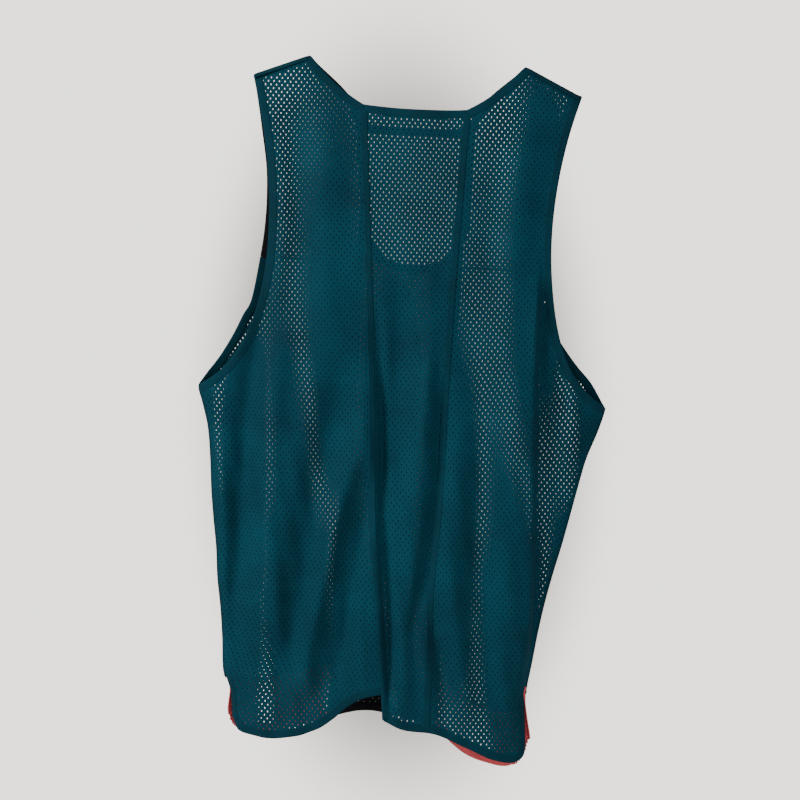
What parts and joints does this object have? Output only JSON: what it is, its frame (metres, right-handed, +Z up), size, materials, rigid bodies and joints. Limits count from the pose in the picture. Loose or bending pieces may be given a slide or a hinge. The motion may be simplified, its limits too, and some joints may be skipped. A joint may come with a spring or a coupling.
{
  "type": "mesh sports vest",
  "caption": "Sleeveless perforated mesh sports vest hanging from its shoulder straps, with a panelled back, deep front neck, side slits and folded hems.",
  "frame": {"origin": "on the centre line between the two straps, level with the neck ends of the shoulder seams, where a hanger carries it", "axes": "+Z up, +X towards the wearer's right, +Y out of the front of the vest, so the back faces -Y"},
  "size_m": [0.4347, 0.0694, 0.7525],
  "materials": {
    "teal_mesh": "perforated knitted polyester",
    "teal_band": "folded knitted polyester",
    "black_mesh": "perforated knitted polyester",
    "black_band": "folded knitted polyester",
    "red_mesh": "perforated knitted polyester",
    "red_band": "folded knitted polyester",
    "thread": "spun polyester thread"
  },
  "bodies": {
    "root": {"back_centre_panel": "teal_mesh", "back_side_panel_left": "teal_mesh", "back_side_panel_right": "teal_mesh", "back_seam_tape_left": "teal_band", "back_seam_tape_right": "teal_band", "front_centre_panel": "black_mesh", "front_yoke_left": "black_mesh", "front_side_panel_left": "teal_mesh", "front_hem_panel_left": "red_mesh", "front_seam_tape_left": "black_band", "front_yoke_right": "black_mesh", "front_side_panel_right": "teal_mesh", "front_hem_panel_right": "red_mesh", "front_seam_tape_right": "black_band", "back_neck_hem": "teal_band", "front_neck_hem": "black_band", "back_neck_slant_left": "teal_band", "back_armhole_hem_left": "teal_band", "front_yoke_armhole_hem_left": "black_band", "front_armhole_hem_left": "teal_band", "back_neck_slant_right": "teal_band", "back_armhole_hem_right": "teal_band", "front_yoke_armhole_hem_right": "black_band", "front_armhole_hem_right": "teal_band", "back_hem_left": "teal_band", "back_hem_right": "teal_band", "back_hem_centre": "teal_band", "front_hem_centre": "black_band", "front_hem_left": "red_band", "front_hem_right": "red_band", "shoulder_seam_left": "teal_band", "side_seam_left": "teal_band", "back_slit_facing_left": "teal_band", "front_slit_facing_left": "red_band", "bar_tack_left": "thread", "shoulder_seam_right": "teal_band", "side_seam_right": "teal_band", "back_slit_facing_right": "teal_band", "front_slit_facing_right": "red_band", "bar_tack_right": "thread", "back_neck_inner_tape": "teal_band"}
  },
  "joints": []
}
